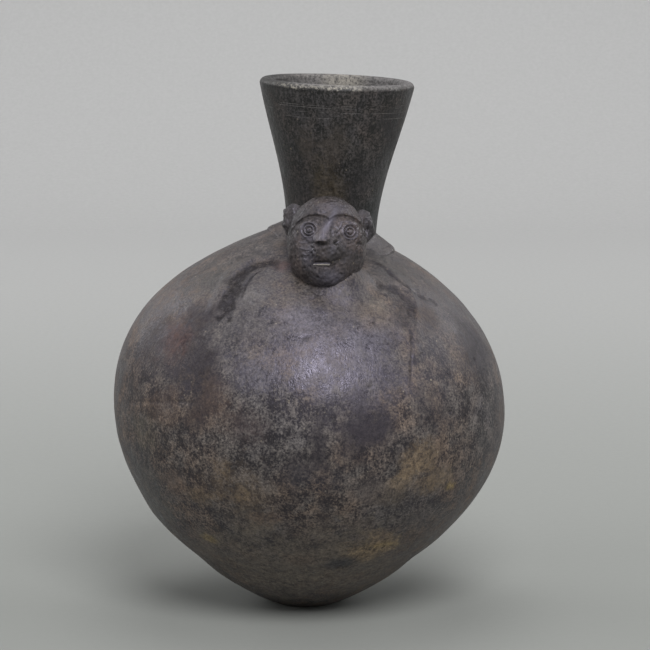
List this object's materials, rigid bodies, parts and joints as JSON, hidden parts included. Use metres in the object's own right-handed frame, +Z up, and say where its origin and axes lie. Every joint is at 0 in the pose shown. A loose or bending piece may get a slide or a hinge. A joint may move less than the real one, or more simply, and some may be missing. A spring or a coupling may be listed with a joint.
{
  "type": "bottle",
  "caption": "Round-bodied blackware pottery bottle with a flaring neck and a small modelled monkey head on the shoulder, standing on a tiny flat foot.",
  "frame": {"origin": "centre of the flat foot, on the surface that the bottle stands on", "axes": "+Z up through the body, -Y out of the monkey's face, +X to the viewer's right"},
  "size_m": [0.1527, 0.1528, 0.206],
  "materials": {
    "body_clay": "reduction-fired dark clay, burnished to a soft sheen, with brown and tan fire clouds and pale grit",
    "inner_clay": "the same clay left matt and wiped by hand",
    "neck_clay": "the same clay, darker and burnished in upright strokes",
    "rim_clay": "the same clay, worn pale and gritty on the lip",
    "head_clay": "the same clay, modelled by hand, rubbed on the brow and muzzle"
  },
  "bodies": {
    "root": {"base_bowl": "body_clay", "shoulder_dome": "body_clay", "seam_strip": "inner_clay", "neck_tube": "neck_clay", "rim_coil": "rim_clay", "neck_collar": "body_clay", "monkey_head": "head_clay", "left_ear": "head_clay", "right_ear": "head_clay", "throat_wad": "body_clay", "right_arm": "body_clay", "left_arm": "body_clay"}
  },
  "joints": []
}
